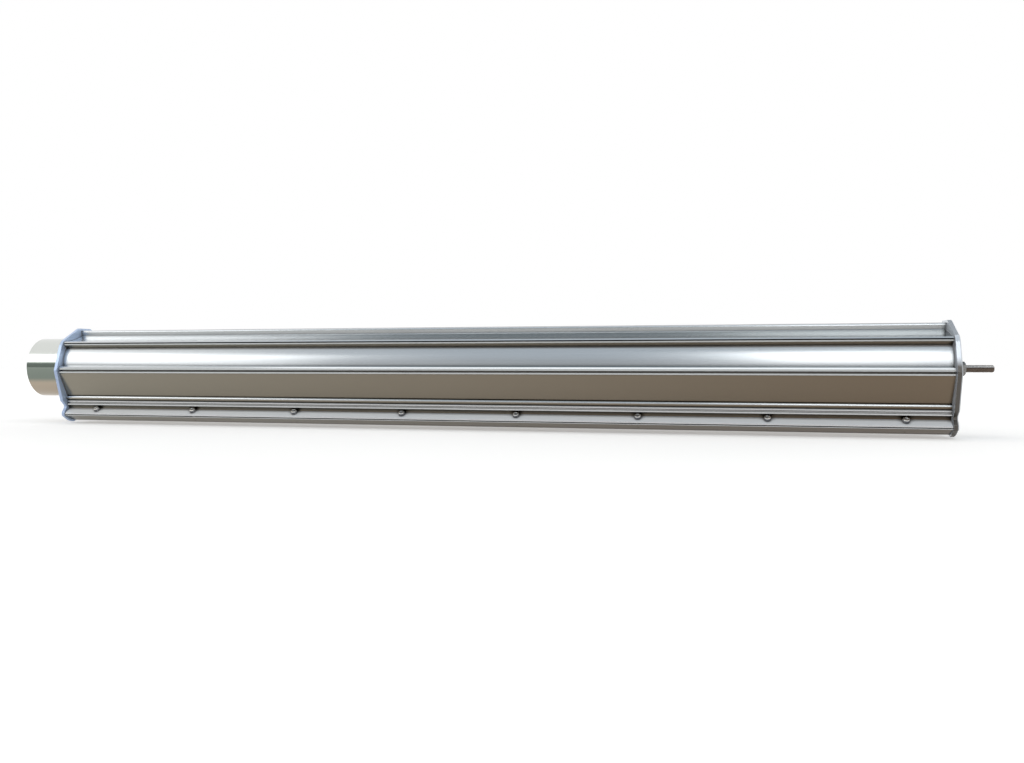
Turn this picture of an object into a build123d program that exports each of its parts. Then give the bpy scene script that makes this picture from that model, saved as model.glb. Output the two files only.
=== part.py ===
"""Blower-fed air knife: an extruded aluminium body with a clamped lip bar, closed by two end plates.

Frame: the origin is the centre of the inlet spigot's mouth, and +X runs along the knife to the stud.
The body's round plenum lies on the X axis. The front, with the lip screws, faces -Y, and +Z is up.
Sections are drawn on planes across the knife: the first number runs forwards (-Y), the second upwards.
"""

from build123d import *
from math import atan2, cos, pi, radians, sin
import os

# Sizes along the knife, in millimetres
body_length = 1040.0
plate_thickness = 5.0
gasket_thickness = 1.0
spigot_length = 55.0

# Inlet spigot and its weld
spigot_diameter = 76.0
spigot_wall = 1.5
spigot_step = 0.5
weld_leg = 3.0

# Body
shell_radius = 46.0
shell_wall = 4.0
bottom_wall = 4.0
nose_setback = 4.0
nose_drop = 61.0
slot_gap = 1.0

# Lip screws and their spacers
screw_count = 8
screw_margin = 43.0
lip_screw_radius = 1.95
lip_screw_length = 12.0
tap_run_out = 1.0
lip_head_radius = 3.5
lip_head_height = 4.0
socket_width = 3.0
socket_depth = 2.0
spacer_radius = 3.5
throat_gap = 2.5
thread_clearance = 0.05
hole_clearance = 0.2

# End plate screws
plate_screw_radius = 1.95
plate_head_radius = 3.9
plate_screw_length = 18.0
plate_socket_width = 2.5
plate_socket_depth = 1.4
plate_rim_radius = 1.2

# Stud, nuts and washer
stud_radius = 4.0
stud_step = 0.5
stud_reach = 42.0
stud_inside = 9.0
stud_chamfer = 1.0
nut_flats = 13.0
nut_thickness = 6.5
washer_radius = 8.0
washer_thickness = 1.6
fit_clearance = 0.1

# Where the pieces lie along the knife
inlet_face = spigot_length
inlet_inside = inlet_face + plate_thickness
body_start = inlet_inside + gasket_thickness
body_end = body_start + body_length
far_inside = body_end + gasket_thickness
far_face = far_inside + plate_thickness

os.makedirs("parts", exist_ok=True)


def across(x):
    """A plane across the knife at x; a positive extrusion from it runs back towards the inlet."""
    return Plane(origin=(x, 0, 0), x_dir=(0, -1, 0), z_dir=(-1, 0, 0))


def save(piece, label):
    """Names a finished piece and writes it to its own file."""
    piece.label = label
    export_step(piece, f"parts/{label}.step")


def at_angle(radius, degrees):
    """A point of a circle round the knife's axis, at an angle above the front."""
    return radius * cos(radians(degrees)), radius * sin(radians(degrees))


# Outside of the body, front half, from the rail on top down to the bead under the flat face
rail_half = 8.0
rail_top = 48.4
rail_foot = [(rail_half, 42.0), (10.5, 40.2)]
roof_middle = (25.0, 35.6)
upper_ridge = [
    (shell_radius - 5.5, 33.2),
    (shell_radius - 3.2, 32.8),
    (shell_radius - 2.2, 31.2),
    (shell_radius - 3.4, 30.5),
    (shell_radius - 2.2, 29.8),
    (shell_radius - 2.2, 28.2),
]
shell_top = at_angle(shell_radius, 32.3)
shell_middle = at_angle(shell_radius, 18.0)
shell_foot = at_angle(shell_radius, 3.5)
middle_ridge = [
    (shell_radius + 6.3, 0.9),
    (shell_radius + 8.0, -0.8),
    (shell_radius + 8.0, -2.9),
    (shell_radius + 5.0, -2.9),
    (shell_radius + 5.0, -5.3),
    (shell_radius + 8.0, -5.3),
    (shell_radius + 8.0, -7.0),
    (shell_radius + 7.0, -8.0),
]
nose = shell_radius - nose_setback
flat_foot = (nose - 4.4, -35.3)
bead_top = (nose - 5.0, -36.0)
bead_nose = (nose - 2.9, -38.8)
bead_foot = (nose - 5.1, -41.5)

# Seat of the lip bar under the front wall, with the groove that takes the bar's tongue
seat_height = -42.0
seat_back = nose - 12.0
groove_back = nose - 8.7
groove_front = nose - 6.5
groove_depth = 2.6

# Fixed lip: the screws' axis leans forwards, and the face under the spacers is square to it
screw_lean = atan2(3, 4)
out_forward, out_up = sin(screw_lean), cos(screw_lean)
lip_tip = (nose, -nose_drop)
lip_edge = 0.6
lip_land = (nose - 6.4, -nose_drop - 1.0)
lip_face_length = 2 * spacer_radius + 0.5
lip_back = (lip_land[0] - lip_face_length * out_up, lip_land[1] + lip_face_length * out_forward)
keel = (nose - 18.0, -nose_drop - 7.0)
rear_bead_foot = (7.5 - nose, -41.2)
keel_lean = atan2(keel[1] - rear_bead_foot[1], keel[0] - rear_bead_foot[0])
floor_front = (keel[0] - bottom_wall * sin(keel_lean), keel[1] + bottom_wall * cos(keel_lean))


def on_floor(forward):
    """A point of the plenum's sloping floor."""
    return forward, floor_front[1] + (forward - floor_front[0]) * sin(keel_lean) / cos(keel_lean)


def mirrored(points):
    """The same points on the rear side."""
    return [(-forward, height) for forward, height in points]


def half_outline(side):
    """The curved stretches and ridges of one side of the body: 1 is the front and -1 the rear."""

    def on_side(points):
        return points if side > 0 else mirrored(points)

    Polyline(*on_side([(0, rail_top), (rail_half, rail_top), *rail_foot]))
    ThreePointArc(*on_side([rail_foot[-1], roof_middle, upper_ridge[0]]))
    Polyline(*on_side([*upper_ridge, shell_top]))
    ThreePointArc(*on_side([shell_top, shell_middle, shell_foot]))
    Polyline(*on_side([shell_foot, *middle_ridge, flat_foot, bead_top]))


def body_outline():
    """The outside of the body, with the lip bar's side left open below its seat."""
    with BuildSketch() as outline:
        with BuildLine():
            half_outline(1)
            half_outline(-1)
            ThreePointArc(bead_top, bead_nose, bead_foot)
            Polyline(
                bead_foot,
                (groove_front, bead_foot[1]),
                (groove_front, seat_height + groove_depth),
                (groove_back, seat_height + groove_depth),
                (groove_back, seat_height),
                (seat_back, seat_height),
                lip_back,
                lip_land,
                lip_tip,
                (lip_tip[0], lip_tip[1] - lip_edge),
                keel,
                rear_bead_foot,
            )
            ThreePointArc(rear_bead_foot, *mirrored([bead_nose, bead_top]))
        make_face()
    return outline.sketch


# Inside of the body: the round plenum, and the throat that leads down to the slot
bore_radius = shell_radius - shell_wall
plenum_ridge = (rail_half, bore_radius - 4.7)
plenum_side = at_angle(bore_radius, 50.7)
plenum_foot = at_angle(bore_radius, -38.2)


def air_way():
    """The section of the air's way through the body."""
    roof = [plenum_ridge, plenum_side]
    with BuildSketch() as section:
        with BuildLine():
            Polyline(*mirrored(roof)[::-1], *roof)
            ThreePointArc(plenum_side, (bore_radius, 0), plenum_foot)
            ThreePointArc(*mirrored([plenum_side, (bore_radius, 0), plenum_foot]))
            Polyline(
                plenum_foot,
                (seat_back, seat_height + 9),
                (seat_back, seat_height),
                (seat_back + 2, seat_height - 8),
                lip_back,
                on_floor(nose - 22.0),
                on_floor(12.5 - nose),
                mirrored([plenum_foot])[0],
            )
        make_face()
    return section.sketch


# Screw ports in the body's walls, which take the end plates' screws
side_ports = [(shell_radius - 9.2, 28.8), (nose - 7.8, -33.0)]
screw_ports = side_ports + mirrored(side_ports) + [(keel[0], keel[1] + 4.8)]


# Lip bar, outside from its seat down to the slot, then back up its inside
tongue_clearance = 0.1
tongue_end_gap = 0.3
shoulder_gap = 0.4
bar_lip = (nose, lip_tip[1] + slot_gap)
bar_face_foot = (bar_lip[0], bar_lip[1] + 1.4)
screw_seat_margin = 0.3
spacer_margin = 0.15


def along_face(point):
    """How far down the slope of the screw face a point lies."""
    return point[0] * out_up - point[1] * out_forward


screw_setback = along_face(bar_face_foot) - along_face(lip_land) + spacer_radius + spacer_margin
face_length = screw_setback + lip_head_radius + screw_seat_margin
bar_face_top = (
    bar_face_foot[0] - face_length * out_up,
    bar_face_foot[1] + face_length * out_forward,
)
bar_land = (lip_land[0] + throat_gap * out_forward, lip_land[1] + throat_gap * out_up)
bar_under_length = lip_face_length - 0.1
bar_back = (
    bar_land[0] - bar_under_length * out_up,
    bar_land[1] + bar_under_length * out_forward,
)


def bar_outline():
    """The section of the clamped lip bar."""
    tongue_top = seat_height + groove_depth - tongue_end_gap
    tongue_back = groove_back + tongue_clearance
    tongue_front = groove_front - tongue_clearance
    shoulder = seat_height - shoulder_gap
    cove_top = (nose - 6.0, seat_height - 6.8)
    with BuildSketch() as section:
        with BuildLine():
            Polyline(
                (nose - 9.5, seat_height),
                (tongue_back, seat_height),
                (tongue_back, tongue_top),
                (tongue_front, tongue_top),
                (tongue_front, shoulder),
                (nose - 4.8, shoulder),
                (nose - 4.0, seat_height - 1.2),
                (nose - 4.0, seat_height - 2.2),
                (nose - 5.6, seat_height - 2.8),
                (nose - 5.6, seat_height - 4.0),
                (nose - 4.5, seat_height - 4.6),
                (nose - 4.5, seat_height - 6.0),
                cove_top,
            )
            ThreePointArc(cove_top, (nose - 7.6, seat_height - 8.3), bar_face_top)
            Polyline(
                bar_face_top,
                bar_face_foot,
                bar_lip,
                bar_land,
                bar_back,
                (nose - 12.5, seat_height - 10.0),
                (nose - 10.5, seat_height - 4.0),
                (nose - 9.5, seat_height),
            )
        make_face()
    return section.sketch


# Lip screws: each axis crosses the bar's screw face and goes down into the fixed lip
screw_seat = (
    bar_face_foot[0] - screw_setback * out_up,
    bar_face_foot[1] + screw_setback * out_forward,
)
screw_pitch = (body_length - 2 * screw_margin) / (screw_count - 1)
screw_places = [body_start + screw_margin + i * screw_pitch for i in range(screw_count)]
bar_depth = (screw_seat[0] - bar_land[0]) * out_forward + (screw_seat[1] - bar_land[1]) * out_up
tap_depth = lip_screw_length - bar_depth - throat_gap / 2 + tap_run_out


def on_screw(x, inwards):
    """A plane square to a lip screw, some way inwards of the seat of its head, facing outwards."""
    forward = screw_seat[0] - inwards * out_forward
    height = screw_seat[1] - inwards * out_up
    return Plane(
        origin=(x, -forward, height), x_dir=(1, 0, 0), z_dir=(0, -out_forward, out_up)
    )


# Body: one extrusion with its screw ports, a groove in the rail and the tapped holes in the fixed lip
rail_slot_width = 3.0
rail_slot_depth = 3.5
rail_corner_radius = 2.5

with BuildPart() as body:
    with BuildSketch(across(body_end)):
        add(body_outline())
        add(air_way(), mode=Mode.SUBTRACT)
        with Locations(*screw_ports):
            Circle(plate_screw_radius + thread_clearance, mode=Mode.SUBTRACT)
        with Locations((0, rail_top)):
            Rectangle(rail_slot_width, 2 * rail_slot_depth, mode=Mode.SUBTRACT)
    extrude(amount=body_length)
    top_edges = body.edges().filter_by(Axis.X).group_by(Axis.Z)[-1].sort_by(Axis.Y)
    fillet([top_edges[0], top_edges[-1]], rail_corner_radius)
    for x in screw_places:
        with BuildSketch(on_screw(x, bar_depth + throat_gap / 2)):
            Circle(lip_screw_radius + thread_clearance)
        extrude(amount=-tap_depth, mode=Mode.SUBTRACT)
save(body.part, "main_body")

# Lip bar: one extrusion with a clearance hole for each lip screw
with BuildPart() as lip_bar:
    with BuildSketch(across(body_end)):
        add(bar_outline())
    extrude(amount=body_length)
    for x in screw_places:
        with BuildSketch(on_screw(x, 0)):
            Circle(lip_screw_radius + hole_clearance)
        extrude(amount=-2 * bar_depth, mode=Mode.SUBTRACT)
save(lip_bar.part, "lip_bar")

# Lip screws and the spacer rings that they pass through, which hold the slot open
for number, x in enumerate(screw_places, 1):
    with BuildPart() as spacer:
        with BuildSketch(on_screw(x, bar_depth)):
            Circle(spacer_radius)
            Circle(lip_screw_radius + hole_clearance, mode=Mode.SUBTRACT)
        extrude(amount=-throat_gap)
    save(spacer.part, f"slot_spacer_{number}")

    with BuildPart() as screw:
        with BuildSketch(on_screw(x, 0)):
            Circle(lip_screw_radius)
        extrude(amount=-lip_screw_length)
        with BuildSketch(on_screw(x, 0)):
            Circle(lip_head_radius)
        extrude(amount=lip_head_height)
        head_top = screw.faces().sort_by(Axis((x, 0, 0), (0, -out_forward, out_up)))[-1]
        chamfer(head_top.edges(), 0.3)
        with BuildSketch(on_screw(x, -lip_head_height)):
            RegularPolygon(socket_width / 2, 6, major_radius=False)
        extrude(amount=-socket_depth, mode=Mode.SUBTRACT)
    save(screw.part, f"lip_screw_{number}")

# End plates: one outline that follows the body's ridges and stands proud of it, straight at the rear
plate_sides = [
    (rail_half + 3.0, rail_top + 2.6),
    (shell_radius - 3.0, 34.0),
    (shell_radius + 1.0, 28.0),
    (shell_radius + 11.5, -4.0),
    (nose + 3.0, -43.0),
]
plate_nose = [
    (nose - 5.0, seat_height - 8.0),
    (nose + 0.3, lip_tip[1] + 3.5),
    (nose + 0.3, lip_tip[1] - 1.0),
    (nose - 11.0, keel[1] - 0.5),
    (keel[0], keel[1] - 2.5),
]
plate_corner_radius = 2.5


def end_plate(outer_face, inwards, hole_radius, label):
    """An end plate: inwards is 1 when the body lies towards +X of it, and -1 when towards -X."""
    with BuildPart() as plate:
        with BuildSketch(across(outer_face)) as outline:
            with BuildLine():
                Polyline(*plate_sides, *plate_nose, *mirrored(plate_sides)[::-1], close=True)
            make_face()
            fillet(outline.vertices(), plate_corner_radius)
        extrude(amount=-inwards * plate_thickness)
        rim = plate.faces().filter_by(Axis.X).sort_by(Axis.X)[0 if inwards > 0 else -1]
        chamfer(rim.edges(), plate_rim_radius)
        with BuildSketch(across(outer_face)):
            Circle(hole_radius)
            with Locations(*screw_ports):
                Circle(plate_screw_radius + hole_clearance)
        extrude(amount=-inwards * plate_thickness, mode=Mode.SUBTRACT)
        with BuildSketch(across(outer_face)):
            with Locations(*screw_ports):
                Circle(plate_head_radius + hole_clearance)
        extrude(
            amount=-inwards * (plate_head_radius - plate_screw_radius), taper=45, mode=Mode.SUBTRACT
        )
    save(plate.part, label)


spigot_radius = spigot_diameter / 2
spigot_seat_radius = spigot_radius - spigot_step
end_plate(inlet_face, 1, spigot_seat_radius + fit_clearance, "inlet_plate")
end_plate(far_face, -1, stud_radius + fit_clearance, "far_plate")

# Gaskets: cut to the body's end, so they close the joint round the plenum and over the lip bar
for start, label in ((body_start, "inlet_gasket"), (far_inside, "far_gasket")):
    with BuildPart() as gasket:
        with BuildSketch(across(start)):
            add(body_outline())
            add(air_way(), mode=Mode.SUBTRACT)
            add(bar_outline())
            with Locations(*screw_ports):
                Circle(plate_screw_radius + hole_clearance, mode=Mode.SUBTRACT)
        extrude(amount=gasket_thickness)
    save(gasket.part, label)

# End plate screws: countersunk, flush with the plates, driven into the body's ports
for end, outer_face, inwards in (("inlet", inlet_face, 1), ("far", far_face, -1)):
    for number, (forward, height) in enumerate(screw_ports, 1):
        head = Plane(origin=(outer_face, -forward, height), x_dir=(0, 1, 0), z_dir=(inwards, 0, 0))
        with BuildPart() as plate_screw:
            with BuildSketch(head):
                Circle(plate_head_radius)
            extrude(amount=plate_head_radius - plate_screw_radius, taper=45)
            with BuildSketch(head):
                Circle(plate_screw_radius)
            extrude(amount=plate_screw_length)
            with BuildSketch(head):
                RegularPolygon(plate_socket_width / 2, 6, major_radius=False)
            extrude(amount=plate_socket_depth, mode=Mode.SUBTRACT)
        save(plate_screw.part, f"{end}_plate_screw_{number}")

# Inlet spigot: a thin tube, turned down a little where it is welded into the inlet plate
spigot_shoulder = inlet_face - weld_leg
with BuildPart() as spigot:
    with BuildSketch(across(0)):
        Circle(spigot_radius)
        Circle(spigot_radius - spigot_wall, mode=Mode.SUBTRACT)
    extrude(amount=-spigot_shoulder)
    with BuildSketch(across(spigot_shoulder)):
        Circle(spigot_seat_radius)
        Circle(spigot_radius - spigot_wall, mode=Mode.SUBTRACT)
    extrude(amount=spigot_shoulder - inlet_inside)
save(spigot.part, "inlet_spigot")

# Weld: a rounded fillet where the spigot enters the plate
weld_middle = weld_leg * 0.6
with BuildPart() as weld:
    with BuildSketch(Plane.XZ):
        with BuildLine():
            Polyline(
                (spigot_shoulder, spigot_radius),
                (spigot_shoulder, spigot_seat_radius),
                (inlet_face, spigot_seat_radius),
                (inlet_face, spigot_radius + weld_leg),
            )
            ThreePointArc(
                (inlet_face, spigot_radius + weld_leg),
                (inlet_face - weld_middle, spigot_radius + weld_middle),
                (spigot_shoulder, spigot_radius),
            )
        make_face()
    revolve(axis=Axis.X)
save(weld.part, "spigot_weld")

# Mounting stud, clamped to the far plate between a nut inside the plenum and one outside
clamped_radius = stud_radius - stud_step
lock_nut_start = far_face + washer_thickness
with BuildPart() as stud:
    with BuildSketch(across(far_inside - stud_inside)):
        Circle(clamped_radius)
    extrude(amount=far_inside - stud_inside - lock_nut_start - nut_thickness)
    with BuildSketch(across(lock_nut_start + nut_thickness)):
        Circle(stud_radius)
    extrude(amount=lock_nut_start + nut_thickness - far_face - stud_reach)
    end_circles = stud.edges().filter_by(GeomType.CIRCLE).sort_by(Axis.X)
    chamfer([end_circles[0], end_circles[-1]], stud_chamfer)
save(stud.part, "end_stud")


def hex_nut(x, label):
    """A hexagon nut on the stud, its corners turned down at both faces."""
    corner_radius = nut_flats / 2 / cos(pi / 6)
    corner_depth = (corner_radius - nut_flats / 2) * 0.6
    with BuildPart() as nut:
        with BuildSketch(across(x)):
            RegularPolygon(nut_flats / 2, 6, major_radius=False)
        extrude(amount=-nut_thickness)
        with BuildSketch(Plane.XZ):
            with BuildLine():
                Polyline(
                    (x, 0),
                    (x, nut_flats / 2),
                    (x + corner_depth, corner_radius),
                    (x + nut_thickness - corner_depth, corner_radius),
                    (x + nut_thickness, nut_flats / 2),
                    (x + nut_thickness, 0),
                    close=True,
                )
            make_face()
        revolve(axis=Axis.X, mode=Mode.INTERSECT)
        with BuildSketch(across(x)):
            Circle(clamped_radius + thread_clearance)
        extrude(amount=-nut_thickness, mode=Mode.SUBTRACT)
    save(nut.part, label)


hex_nut(far_inside - nut_thickness, "stud_inner_nut")
hex_nut(lock_nut_start, "stud_lock_nut")

with BuildPart() as washer:
    with BuildSketch(across(far_face)):
        Circle(washer_radius)
        Circle(stud_radius + hole_clearance, mode=Mode.SUBTRACT)
    extrude(amount=-washer_thickness)
save(washer.part, "stud_washer")
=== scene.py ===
import bmesh
import bpy
import math
from mathutils import Matrix, Vector


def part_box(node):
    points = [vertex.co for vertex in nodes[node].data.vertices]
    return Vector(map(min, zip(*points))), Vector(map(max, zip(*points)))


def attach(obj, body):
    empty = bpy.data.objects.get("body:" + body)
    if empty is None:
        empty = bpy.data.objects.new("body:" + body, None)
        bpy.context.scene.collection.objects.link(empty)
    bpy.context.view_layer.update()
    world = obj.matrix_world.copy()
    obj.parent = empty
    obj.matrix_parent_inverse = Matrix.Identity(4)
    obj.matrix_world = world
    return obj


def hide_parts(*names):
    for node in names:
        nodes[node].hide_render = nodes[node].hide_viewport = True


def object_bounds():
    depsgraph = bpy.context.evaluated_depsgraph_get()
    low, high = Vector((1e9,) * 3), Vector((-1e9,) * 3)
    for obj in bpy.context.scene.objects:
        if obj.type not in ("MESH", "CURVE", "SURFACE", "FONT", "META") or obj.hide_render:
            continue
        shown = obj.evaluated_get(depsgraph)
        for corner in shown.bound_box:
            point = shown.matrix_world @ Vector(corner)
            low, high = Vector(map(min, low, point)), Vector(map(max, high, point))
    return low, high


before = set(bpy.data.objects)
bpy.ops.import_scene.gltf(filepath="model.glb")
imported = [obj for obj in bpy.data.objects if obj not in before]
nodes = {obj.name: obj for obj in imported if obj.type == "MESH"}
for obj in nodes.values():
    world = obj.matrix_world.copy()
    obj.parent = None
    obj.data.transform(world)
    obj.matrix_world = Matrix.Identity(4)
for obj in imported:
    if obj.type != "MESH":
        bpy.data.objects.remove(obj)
cad_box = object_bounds()

# ---------------------------------------------------------------------------------------------------
# Main body
# The long housing is one aluminium extrusion, satin anodised in a cool grey. The press leaves fine die
# lines along its whole length. The brown on the faces that look down and the white to grey on those
# that look up are painted reflections in its colour.

MM = 0.001
die_lines_per_metre = 2400.0
die_line_stretch = (0.002, 1.0, 1.0)
die_line_depth = 0.0005 * MM
# Painted shade in grooves and inside corners: how far the occlusion looks, and its darkest colour.
crevice_reach = 6 * MM
crevice_shade = (0.10, 0.09, 0.08)
# Painted reflections: brown tones on faces that look down, white to grey tones on faces that look up
underside_reflection_tones = ((0.27, 0.25, 0.205), (0.17, 0.13, 0.092))
roof_reflection_tones = ((0.90, 0.92, 0.93), (0.38, 0.41, 0.41))


def start_material(name, colour, metallic, roughness):
    """A new material with its shader: returns the material, its node tree and the Principled node."""
    material = bpy.data.materials.new(name)
    material.use_nodes = True
    tree = material.node_tree
    shader = tree.nodes["Principled BSDF"]
    shader.inputs["Base Color"].default_value = (*colour, 1)
    shader.inputs["Metallic"].default_value = metallic
    shader.inputs["Roughness"].default_value = roughness
    return material, tree, shader


def noise(tree, stretch, scale, detail=3.0):
    """Noise in the part's own space. A small number in stretch draws the grain out along that axis."""
    place = tree.nodes.new("ShaderNodeTexCoord")
    mapping = tree.nodes.new("ShaderNodeMapping")
    mapping.inputs["Scale"].default_value = stretch
    texture = tree.nodes.new("ShaderNodeTexNoise")
    texture.inputs["Scale"].default_value = scale
    texture.inputs["Detail"].default_value = detail
    tree.links.new(place.outputs["Object"], mapping.inputs["Vector"])
    tree.links.new(mapping.outputs["Vector"], texture.inputs["Vector"])
    return texture.outputs["Fac"]


def rescale(tree, value, start, end, low=0.0, high=1.0, interpolation="LINEAR"):
    """Turns a value into one that is low where it is start and high where it is end."""
    ramp = tree.nodes.new("ShaderNodeMapRange")
    ramp.interpolation_type = interpolation
    ramp.inputs["From Min"].default_value = start
    ramp.inputs["From Max"].default_value = end
    ramp.inputs["To Min"].default_value = low
    ramp.inputs["To Max"].default_value = high
    tree.links.new(value, ramp.inputs["Value"])
    return ramp.outputs["Result"]


def spread(tree, factor, low=0.0, high=1.0):
    """Stretches the middle of a noise, where nearly all of it lies, to run from low to high."""
    return rescale(tree, factor, 0.3, 0.7, low, high)


def tint(tree, factor, dark, light):
    """Turns a noise factor into a colour between two tints."""
    mix = tree.nodes.new("ShaderNodeMix")
    mix.data_type = "RGBA"
    mix.inputs["A"].default_value = (*dark, 1)
    mix.inputs["B"].default_value = (*light, 1)
    tree.links.new(spread(tree, factor), mix.inputs["Factor"])
    return mix.outputs["Result"]


def relief(tree, shader, factor, depth):
    """Shallow relief from a noise factor; depth is in metres."""
    bump = tree.nodes.new("ShaderNodeBump")
    bump.inputs["Strength"].default_value = 1.0
    bump.inputs["Distance"].default_value = depth
    tree.links.new(factor, bump.inputs["Height"])
    tree.links.new(bump.outputs["Normal"], shader.inputs["Normal"])


def coordinate(tree, output, axis):
    """One coordinate of the shaded point, or of its normal, in the part's own space."""
    place = tree.nodes.new("ShaderNodeTexCoord")
    split = tree.nodes.new("ShaderNodeSeparateXYZ")
    tree.links.new(place.outputs[output], split.inputs["Vector"])
    return split.outputs[axis]


def facing(tree, start, end):
    """How far a face is turned up or down: 0 where its normal's height is start, 1 where it is end."""
    return rescale(tree, coordinate(tree, "Normal", "Z"), start, end, interpolation="SMOOTHSTEP")


def two_colours(tree, factor, first, second):
    """Mixes two colour sockets by a factor."""
    mix = tree.nodes.new("ShaderNodeMix")
    mix.data_type = "RGBA"
    tree.links.new(first, mix.inputs["A"])
    tree.links.new(second, mix.inputs["B"])
    tree.links.new(factor, mix.inputs["Factor"])
    return mix.outputs["Result"]


def plain_colour(tree, colour):
    """One colour as a socket."""
    node = tree.nodes.new("ShaderNodeRGB")
    node.outputs[0].default_value = (*colour, 1)
    return node.outputs[0]


def tones_along(tree, tones, start, end):
    """Two tones that change from the first to the second between two places along the knife."""
    first, second = [plain_colour(tree, tone) for tone in tones]
    return two_colours(tree, rescale(tree, coordinate(tree, "Object", "X"), start, end), first, second)


def crevices(tree, colour):
    """Paints shade into a colour in narrow grooves and inside corners, where little light comes in."""
    hollow = tree.nodes.new("ShaderNodeAmbientOcclusion")
    hollow.inputs["Distance"].default_value = crevice_reach
    openness = rescale(tree, hollow.outputs["AO"], 0.4, 0.9)
    unshaded = plain_colour(tree, (1, 1, 1))
    shade = two_colours(tree, openness, plain_colour(tree, crevice_shade), unshaded)
    shaded_colour = tree.nodes.new("ShaderNodeMix")
    shaded_colour.data_type = "RGBA"
    shaded_colour.blend_type = "MULTIPLY"
    shaded_colour.inputs["Factor"].default_value = 1.0
    tree.links.new(colour, shaded_colour.inputs["A"])
    tree.links.new(shade, shaded_colour.inputs["B"])
    return shaded_colour.outputs["Result"]


def extruded_aluminium(name, dark, light, upward, top_reflection_tones, top_metallic):
    """Satin anodised extrusion with die lines along X. Faces that look up or down get painted
    reflections: tones of their own in place of what a room would mirror in them. Each pair runs from
    the inlet to the far end."""
    material, tree, shader = start_material(name, light, 1.0, 0.2)
    lines = noise(tree, die_line_stretch, die_lines_per_metre)
    cloud = noise(tree, (1.0, 4.0, 4.0), 5.0)
    open_faces = tint(tree, lines, dark, light)
    underside = tones_along(tree, underside_reflection_tones, 0.0, 1.1)
    colour = two_colours(tree, facing(tree, 0.02, -0.1), open_faces, underside)
    raised = facing(tree, *upward)
    colour = two_colours(tree, raised, colour, tones_along(tree, top_reflection_tones, 0.1, 0.6))
    tree.links.new(crevices(tree, colour), shader.inputs["Base Color"])
    tree.links.new(rescale(tree, raised, 0.0, 1.0, 1.0, top_metallic), shader.inputs["Metallic"])
    tree.links.new(spread(tree, cloud, 0.2, 0.27), shader.inputs["Roughness"])
    relief(tree, shader, lines, die_line_depth)
    return material


def finish(node, material, smooth_angle=30):
    """Gives a piece its material and smooth shading up to an angle."""
    node.data.materials.clear()
    node.data.materials.append(material)
    node.data.shade_smooth()
    node.data.set_sharp_from_angle(angle=math.radians(smooth_angle))


# The body's upward faces get the roof's painted reflection, white at the inlet end and grey further on.
body_finish = extruded_aluminium(
    "body extrusion", (0.57, 0.59, 0.60), (0.62, 0.64, 0.65), (0.75, 0.97), roof_reflection_tones, 1.0
)
finish(nodes["main_body"], body_finish)

# ---------------------------------------------------------------------------------------------------
# Lip bar
# The clamped lip is a second, smaller extrusion of the same alloy. It hooks into the body's groove
# and is pulled down by the lip screws. Its sloping screw face is less metallic and painted paler, a
# painted highlight for the light it catches.

screw_face_highlight_tones = ((0.98, 0.98, 0.98), (0.91, 0.93, 0.95))
bar_finish = extruded_aluminium(
    "lip bar extrusion", (0.60, 0.61, 0.62), (0.65, 0.66, 0.67), (0.3, 0.55), screw_face_highlight_tones, 0.15
)
finish(nodes["lip_bar"], bar_finish)

# ---------------------------------------------------------------------------------------------------
# End plates
# Both plates are cut from aluminium sheet, their rims chamfered. They are brushed and anodised a pale
# blue grey, and each is held on by five countersunk screws.

brush_lines_per_metre = 1500.0
brush_stretch = (1.0, 0.04, 1.0)
brush_depth = 0.005 * MM
rim_tone_top = 12 * MM
rim_tone_full = 2 * MM


def combine(tree, operation, *values):
    """One step of arithmetic on one or two sockets."""
    node = tree.nodes.new("ShaderNodeMath")
    node.operation = operation
    for socket, value in zip(node.inputs, values):
        tree.links.new(value, socket)
    return node.outputs[0]


def anodised_sheet(name, dark, light, painted_lower_rim, metallic):
    """Brushed, anodised sheet. Below the plate's middle the rim is painted a tone of its own: painted
    shade and reflection in place of what a room would mirror in it."""
    material, tree, shader = start_material(name, light, metallic, 0.3)
    brushing = noise(tree, brush_stretch, brush_lines_per_metre, 4.0)
    patches = noise(tree, (1.0, 1.0, 1.0), 18.0)
    low = rescale(tree, coordinate(tree, "Object", "Z"), rim_tone_top, rim_tone_full)
    on_rim = rescale(tree, combine(tree, "ABSOLUTE", coordinate(tree, "Normal", "X")), 0.8, 0.6)
    on_lower_rim = combine(tree, "MULTIPLY", low, on_rim)
    brushed = tint(tree, brushing, dark, light)
    colour = two_colours(tree, on_lower_rim, brushed, plain_colour(tree, painted_lower_rim))
    tree.links.new(colour, shader.inputs["Base Color"])
    tree.links.new(spread(tree, patches, 0.24, 0.36), shader.inputs["Roughness"])
    relief(tree, shader, brushing, brush_depth)
    return material


# The third colour is painted on each lower rim: painted shade on the inlet plate, a painted brown
# reflection on the far plate.
inlet_sheet = anodised_sheet(
    "inlet plate sheet", (0.50, 0.62, 0.83), (0.56, 0.68, 0.88), (0.42, 0.52, 0.72), 0.4
)
finish(nodes["inlet_plate"], inlet_sheet)
far_sheet = anodised_sheet(
    "far plate sheet", (0.66, 0.70, 0.75), (0.74, 0.78, 0.82), (0.10, 0.09, 0.08), 0.6
)
finish(nodes["far_plate"], far_sheet)

# ---------------------------------------------------------------------------------------------------
# Gaskets
# A thin sheet of grey nitrile rubber, cut with a knife, lies between each plate and the body. The
# plate's screws pinch it.

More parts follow.
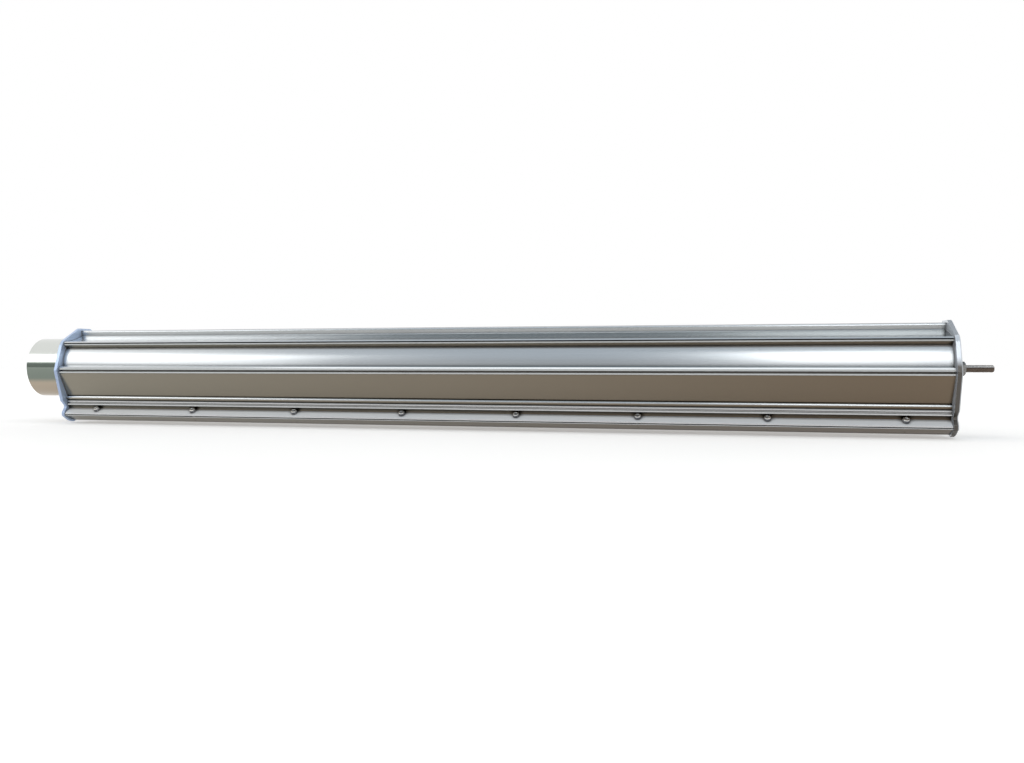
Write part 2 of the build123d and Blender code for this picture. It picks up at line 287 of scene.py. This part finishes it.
rubber_grains_per_metre = 2500.0
rubber_grain_depth = 0.03 * MM
gasket_finish, tree, shader = start_material("gasket rubber", (0.2, 0.2, 0.21), 0.0, 0.75)
grain = noise(tree, (1.0, 1.0, 1.0), rubber_grains_per_metre)
rubber_grey = tint(tree, grain, (0.17, 0.17, 0.175), (0.23, 0.23, 0.235))
tree.links.new(rubber_grey, shader.inputs["Base Color"])
relief(tree, shader, grain, rubber_grain_depth)
for name in ("inlet_gasket", "far_gasket"):
    finish(nodes[name], gasket_finish)

# ---------------------------------------------------------------------------------------------------
# Inlet spigot
# A short stub of thin stainless tube, polished round its outside, takes the blower's hose. It passes
# through the inlet plate.

polish_depth = 0.004 * MM
across_the_tube = (1.0, 0.02, 0.02)
all_ways = (1.0, 1.0, 1.0)


def polished_steel(name, dark, light, roughness, grain_stretch, grains_per_metre, *painted_bands):
    """Bright steel with a fine polishing grain. Each band is painted light and shade: a start and an end
    for facing() and the tone painted on the faces past its end."""
    material, tree, shader = start_material(name, light, 1.0, roughness)
    polish = noise(tree, grain_stretch, grains_per_metre)
    colour = tint(tree, polish, dark, light)
    for start, end, tone in painted_bands:
        colour = two_colours(tree, facing(tree, start, end), colour, plain_colour(tree, tone))
    tree.links.new(colour, shader.inputs["Base Color"])
    tree.links.new(spread(tree, polish, roughness * 0.8, roughness * 1.25), shader.inputs["Roughness"])
    relief(tree, shader, polish, polish_depth)
    return material


# Painted reflections on the tube: green grey on its sides and tan on its underside, its top left bright.
green_reflection_band = (0.24, 0.12, (0.20, 0.23, 0.20))
tan_reflection_band = (-0.35, -0.55, (0.42, 0.355, 0.28))
tube_dark, tube_light = (0.64, 0.66, 0.63), (0.72, 0.74, 0.71)
spigot_finish = polished_steel(
    "spigot tube", tube_dark, tube_light, 0.16, across_the_tube, 1500.0, green_reflection_band, tan_reflection_band
)
finish(nodes["inlet_spigot"], spigot_finish)

# ---------------------------------------------------------------------------------------------------
# Weld round the spigot
# The tube is fillet welded to the plate by hand: a bead of overlapping ripples, slightly discoloured
# by the heat and brushed afterwards.

plate_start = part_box("inlet_plate")[0].x
tube_low, tube_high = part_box("inlet_spigot")
tube_radius = (tube_high.z - tube_low.z) / 2
weld_leg = plate_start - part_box("spigot_weld")[0].x
ripple_count = 96
steps_per_ripple = 5
ripple_height = 0.25 * MM
bead_points = 9
bead_hollow = 0.22
root_depth = 0.4 * MM


def weld_bead():
    """A ring of weld metal in the corner between the tube and the plate."""
    bm = bmesh.new()
    rings = []
    turns = ripple_count * steps_per_ripple
    for i in range(turns):
        angle = 2 * math.pi * i / turns
        wave = abs(math.sin(math.pi * i / steps_per_ripple))
        ring = []
        for j in range(bead_points):
            swing = math.pi / 2 * j / (bead_points - 1)
            reach = weld_leg * (1.0 - bead_hollow * math.sin(2 * swing))
            lift = ripple_height * wave * math.sin(2 * swing)
            radius = tube_radius + (reach + lift) * math.sin(swing)
            x = plate_start - (reach + lift) * math.cos(swing)
            ring.append(bm.verts.new((x, radius * math.cos(angle), radius * math.sin(angle))))
        inner = tube_radius - root_depth
        ring.append(bm.verts.new((plate_start, inner * math.cos(angle), inner * math.sin(angle))))
        rings.append(ring)
    for i, ring in enumerate(rings):
        following = rings[(i + 1) % turns]
        for j in range(len(ring)):
            k = (j + 1) % len(ring)
            bm.faces.new((ring[j], following[j], following[k], ring[k]))
    bmesh.ops.recalc_face_normals(bm, faces=bm.faces)
    mesh = bpy.data.meshes.new("weld_bead")
    bm.to_mesh(mesh)
    bm.free()
    return mesh


def add_piece(name, mesh, slot_name, *replaced):
    """Puts a new piece on the part and hides the CAD nodes it stands for, if any."""
    piece = bpy.data.objects.new(name, mesh)
    bpy.context.scene.collection.objects.link(piece)
    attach(piece, "root")
    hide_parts(*replaced)
    return piece


weld_finish = polished_steel("weld bead", (0.42, 0.37, 0.32), (0.62, 0.60, 0.56), 0.3, all_ways, 300.0)
bead = add_piece("weld_bead", weld_bead(), "weld", "spigot_weld")
finish(bead, weld_finish, 50)

# ---------------------------------------------------------------------------------------------------
# Lip screws
# Eight stainless socket cap screws with knurled heads pull the lip bar down onto its spacers.
# Their axes are square to the bar's sloping face.

screw_count = 8
screw_lean = math.atan2(3, 4)
screw_radius = 1.95 * MM
head_radius = 3.5 * MM
head_height = 4.0 * MM
shank_length = 12.0 * MM
socket_flats = 3.0 * MM
socket_depth = 2.0 * MM
socket_mouth_radius = 1.83 * MM
knurl_depth = 0.14 * MM
knurl_count = 36
screw_steps = 2 * knurl_count


def circle_of(radius):
    """The same radius at every angle."""
    return lambda i: radius


def knurled(radius):
    """A radius that rises and falls from one knurl to the next."""
    return lambda i: radius if i % 2 else radius - knurl_depth


def hexagon_of(flats):
    """The radius of a hexagon at each angle."""

    def radius(i):
        sixth = math.pi / 3
        angle = (2 * math.pi * i / screw_steps) % sixth - sixth / 2
        return flats / 2 / math.cos(angle)

    return radius


def turned_mesh(name, sections):
    """A closed mesh round Z from (height, radius function) pairs, from one end to the other."""
    bm = bmesh.new()
    rings = []
    for height, radius in sections:
        ring = []
        for i in range(screw_steps):
            angle = 2 * math.pi * i / screw_steps
            across, up = radius(i) * math.cos(angle), radius(i) * math.sin(angle)
            ring.append(bm.verts.new((across, up, height)))
        rings.append(ring)
    for low, high in zip(rings, rings[1:]):
        for i in range(screw_steps):
            k = (i + 1) % screw_steps
            bm.faces.new((low[i], low[k], high[k], high[i]))
    bm.faces.new(rings[0][::-1])
    bm.faces.new(rings[-1])
    bmesh.ops.recalc_face_normals(bm, faces=bm.faces)
    mesh = bpy.data.meshes.new(name)
    bm.to_mesh(mesh)
    bm.free()
    return mesh


screw_top = shank_length + head_height
edge = 0.35 * MM
screw_mesh = turned_mesh(
    "lip_screw",
    [
        (0.0, circle_of(screw_radius - edge)),
        (edge, circle_of(screw_radius)),
        (shank_length, circle_of(screw_radius)),
        (shank_length, circle_of(head_radius - edge)),
        (shank_length + edge / 2, knurled(head_radius)),
        (screw_top - 1.6 * edge, knurled(head_radius)),
        (screw_top - 1.3 * edge, circle_of(head_radius - knurl_depth)),
        (screw_top - edge / 3, circle_of(head_radius - 0.8 * edge)),
        (screw_top, circle_of(head_radius - 1.6 * edge)),
        (screw_top, circle_of(socket_mouth_radius)),
        (screw_top - edge, hexagon_of(socket_flats)),
        (screw_top - socket_depth, hexagon_of(socket_flats)),
    ],
)
# Painted shade on the faces of each screw that look down.
shaded_screw_underside = (-0.1, -0.4, (0.18, 0.18, 0.19))
screw_finish = polished_steel(
    "lip screw", (0.80, 0.80, 0.79), (0.92, 0.92, 0.91), 0.22, all_ways, 900.0, shaded_screw_underside
)
lean = Matrix.Rotation(screw_lean, 4, "X")
for number in range(1, screw_count + 1):
    node = f"lip_screw_{number}"
    low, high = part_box(node)
    tip_y = high.y - screw_radius * math.cos(screw_lean)
    tip_z = low.z + screw_radius * math.sin(screw_lean)
    tip = Matrix.Translation(((low.x + high.x) / 2, tip_y, tip_z))
    screw = add_piece(f"cap_screw_{number}", screw_mesh.copy(), "screws", node)
    screw.data.transform(tip @ lean)
    finish(screw, screw_finish)

# ---------------------------------------------------------------------------------------------------
# Spacers in the slot
# A turned stainless ring round each lip screw sets how wide the slot opens. The screw clamps it
# between the two lips.

spacer_finish = polished_steel(
    "spacer ring", (0.45, 0.45, 0.44), (0.6, 0.6, 0.58), 0.25, across_the_tube, 900.0
)
for number in range(1, screw_count + 1):
    finish(nodes[f"slot_spacer_{number}"], spacer_finish)

# ---------------------------------------------------------------------------------------------------
# End plate screws
# Five countersunk stainless screws with hexagon sockets hold each end plate. They lie flush with its
# face and run into the body's screw ports.

screws_per_plate = 5
plate_screw_finish = polished_steel(
    "plate screw", (0.46, 0.46, 0.45), (0.62, 0.62, 0.6), 0.22, all_ways, 700.0
)
for end in ("inlet", "far"):
    for number in range(1, screws_per_plate + 1):
        finish(nodes[f"{end}_plate_screw_{number}"], plate_screw_finish)

# ---------------------------------------------------------------------------------------------------
# Mounting stud
# A length of rolled stainless thread passes through the far plate and sticks out to take a bracket.

stud_low, stud_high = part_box("end_stud")
stud_radius = (stud_high.z - stud_low.z) / 2
thread_pitch = 1.25 * MM
thread_depth = 0.3 * MM
thread_steps = 24
rows_per_turn = 8
end_chamfer = 1.0 * MM
flank_slope = 4.2
crest_overshoot = 1.5


def thread_height(phase):
    """The thread's form over one turn, from 0 at its flat root to 1 at its flat crest."""
    from_crest = abs(phase % 1.0 - 0.5)
    return min(1.0, max(0.0, crest_overshoot - flank_slope * from_crest))


def threaded_rod():
    """The stud with its thread, chamfered at both ends."""
    bm = bmesh.new()
    length = stud_high.x - stud_low.x
    rows = round(length / thread_pitch * rows_per_turn)
    rings = []
    for j in range(rows + 1):
        travel = length * j / rows
        from_end = min(travel, length - travel)
        ceiling = stud_radius - max(0.0, end_chamfer - from_end)
        ring = []
        for i in range(thread_steps):
            phase = travel / thread_pitch - i / thread_steps
            radius = stud_radius - thread_depth * (1 - thread_height(phase))
            radius = min(radius, ceiling)
            angle = 2 * math.pi * i / thread_steps
            across, up = radius * math.cos(angle), radius * math.sin(angle)
            ring.append(bm.verts.new((stud_low.x + travel, across, up)))
        rings.append(ring)
    for low_ring, high_ring in zip(rings, rings[1:]):
        for i in range(thread_steps):
            k = (i + 1) % thread_steps
            bm.faces.new((low_ring[i], low_ring[k], high_ring[k], high_ring[i]))
    bm.faces.new(rings[0])
    bm.faces.new(rings[-1])
    bmesh.ops.recalc_face_normals(bm, faces=bm.faces)
    mesh = bpy.data.meshes.new("threaded_rod")
    bm.to_mesh(mesh)
    bm.free()
    return mesh


# Painted shade, dark brown, on the faces of the stud that look sideways and down.
shaded_stud_underside = (0.45, 0.2, (0.13, 0.10, 0.08))
stud_finish = polished_steel(
    "stud steel", (0.52, 0.50, 0.48), (0.64, 0.62, 0.60), 0.25, all_ways, 800.0, shaded_stud_underside
)
stud = add_piece("threaded_stud", threaded_rod(), "stud", "end_stud")
finish(stud, stud_finish, 60)

# ---------------------------------------------------------------------------------------------------
# Nuts and washer of the stud
# Plain stainless hexagon nuts grip the far plate from both sides, with a washer under the outer one.
# A second nut outside it locks the first.

# Painted shade on the faces of the nuts and washer that turn downwards.
shaded_nut_flats = (0.2, -0.1, (0.20, 0.19, 0.18))
nut_finish = polished_steel(
    "nut steel", (0.46, 0.47, 0.47), (0.60, 0.61, 0.61), 0.28, all_ways, 500.0, shaded_nut_flats
)
for name in ("stud_inner_nut", "stud_lock_nut", "stud_washer"):
    finish(nodes[name], nut_finish)

nut_low, nut_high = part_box("stud_lock_nut")
nut_flats = min(nut_high.y - nut_low.y, nut_high.z - nut_low.z)
nut_length = nut_high.x - nut_low.x
nut_edge = 0.6 * MM
face_radius = nut_flats / 2 - nut_edge / 3
jam_nut_mesh = turned_mesh(
    "jam_nut",
    [
        (0.0, circle_of(face_radius)),
        (nut_edge, hexagon_of(nut_flats)),
        (nut_length - nut_edge, hexagon_of(nut_flats)),
        (nut_length, circle_of(face_radius)),
    ],
)
along_the_stud = Matrix.Rotation(math.radians(90), 4, "Y")
jam_nut_mesh.transform(Matrix.Translation((nut_high.x, 0, 0)) @ along_the_stud)
jam_nut = add_piece("jam_nut", jam_nut_mesh, "stud")
finish(jam_nut, nut_finish)

# ---------------------------------------------------------------------------------------------------
# Floor, lights and camera
# A plain pale floor lies just under the knife. The room is white behind it and grey in front and
# overhead, with one soft box above and two in front.

floor_drop = 1.5 * MM
floor_size = 30.0
knife_middle = 0.55
near_glow, far_glow = 0.30, 0.66
glow_starts, glow_ends = 0.4, 2.2
floor_mesh = bpy.data.meshes.new("floor")
half = floor_size / 2
corners = [(-half, -half, 0), (half, -half, 0), (half, half, 0), (-half, half, 0)]
floor_mesh.from_pydata(corners, [], [(0, 1, 2, 3)])
floor = bpy.data.objects.new("floor", floor_mesh)
bpy.context.scene.collection.objects.link(floor)
floor.location = (knife_middle, 0, cad_box[0].z - floor_drop)
floor_finish, tree, shader = start_material("floor", (0.86, 0.84, 0.81), 0.0, 0.9)
floor_cloud = noise(tree, all_ways, 1.5)
floor_paint = tint(tree, floor_cloud, (0.84, 0.82, 0.79), (0.87, 0.85, 0.82))
tree.links.new(floor_paint, shader.inputs["Base Color"])


def seen_rays(tree):
    """1 for the rays that see the room: those of the camera, and those off metal and through glass."""
    path = tree.nodes.new("ShaderNodeLightPath").outputs
    seen = combine(tree, "MAXIMUM", path["Is Camera Ray"], path["Is Glossy Ray"])
    return combine(tree, "MAXIMUM", seen, path["Is Transmission Ray"])


# The floor pales into the wall with its distance from the knife, and keeps the knife's shadow
floor_place = tree.nodes.new("ShaderNodeTexCoord")
distance = tree.nodes.new("ShaderNodeVectorMath")
distance.operation = "LENGTH"
tree.links.new(floor_place.outputs["Object"], distance.inputs[0])
glow = rescale(tree, distance.outputs["Value"], glow_starts, glow_ends, near_glow, far_glow)
glow_shader = tree.nodes.new("ShaderNodeEmission")
tree.links.new(combine(tree, "MULTIPLY", glow, seen_rays(tree)), glow_shader.inputs["Strength"])
both = tree.nodes.new("ShaderNodeAddShader")
tree.links.new(shader.outputs["BSDF"], both.inputs[0])
tree.links.new(glow_shader.outputs["Emission"], both.inputs[1])
tree.links.new(both.outputs["Shader"], tree.nodes["Material Output"].inputs["Surface"])
floor.data.materials.append(floor_finish)

world = bpy.data.worlds.new("studio")
bpy.context.scene.world = world
world.use_nodes = True
tree = world.node_tree
background = tree.nodes["Background"]
direction = tree.nodes.new("ShaderNodeTexCoord")
parts = tree.nodes.new("ShaderNodeSeparateXYZ")
tree.links.new(direction.outputs["Generated"], parts.inputs["Vector"])


def wall(stops):
    """One side of the room: colours that change with the height looked at."""
    ramp = tree.nodes.new("ShaderNodeValToRGB")
    tree.links.new(parts.outputs["Z"], ramp.inputs["Fac"])
    while len(ramp.color_ramp.elements) < len(stops):
        ramp.color_ramp.elements.new(0.5)
    for element, (position, colour) in zip(ramp.color_ramp.elements, stops):
        element.position = position
        element.color = (*colour, 1)
    return ramp.outputs["Color"]


white = (1.0, 1.0, 1.0)
rear_wall = wall([(0.36, white), (0.54, (0.20, 0.21, 0.22)), (0.80, (0.14, 0.15, 0.16))])
front_wall = wall([(0.0, (0.42, 0.40, 0.37)), (0.22, (0.44, 0.46, 0.48)), (0.55, (0.56, 0.62, 0.68))])
left_front_wall = wall([(0.0, (0.50, 0.53, 0.51)), (0.2, (0.60, 0.63, 0.64)), (0.42, white)])
behind = rescale(tree, parts.outputs["Y"], -0.15, 0.15)
past_inlet = rescale(tree, parts.outputs["X"], -0.36, -0.52)
front_half = two_colours(tree, past_inlet, front_wall, left_front_wall)
rear_half = two_colours(tree, past_inlet, rear_wall, plain_colour(tree, white))
room = two_colours(tree, behind, front_half, rear_half)
tree.links.new(room, background.inputs["Color"])


def soft_box(name, place, target, size, power):
    """A soft rectangular lamp at a place, turned towards a target."""
    lamp = bpy.data.lights.new(name, "AREA")
    lamp.shape = "RECTANGLE"
    lamp.size, lamp.size_y = size
    lamp.energy = power
    holder = bpy.data.objects.new(name, lamp)
    bpy.context.scene.collection.objects.link(holder)
    holder.location = place
    holder.rotation_euler = (Vector(target) - Vector(place)).to_track_quat("-Z", "Y").to_euler()


soft_box("front left", (-1.1, -1.5, 0.95), (0.3, 0, 0), (1.4, 0.9), 6.0)
soft_box("front right", (1.25, -1.5, 0.95), (0.9, 0, 0), (0.6, 0.9), 3.6)
soft_box("overhead", (0.58, 0.1, 1.7), (0.58, 0, 0), (2.2, 0.8), 7.0)

camera = bpy.data.cameras.new("camera")
camera.lens = 33.44
camera.shift_x = 0.0425
camera.shift_y = -0.0068
camera_holder = bpy.data.objects.new("camera", camera)
bpy.context.scene.collection.objects.link(camera_holder)
camera_holder.location = (0.86306, -1.0961, 0.00163)
yaw, pitch, roll = 14.287, -0.479, 0.075
camera_turn = Matrix.Rotation(math.radians(yaw), 4, "Z")
camera_turn = camera_turn @ Matrix.Rotation(math.radians(90 + pitch), 4, "X")
camera_turn = camera_turn @ Matrix.Rotation(math.radians(roll), 4, "Z")
camera_holder.rotation_euler = camera_turn.to_euler()
bpy.context.scene.camera = camera_holder
bpy.context.scene.view_settings.view_transform = "Standard"
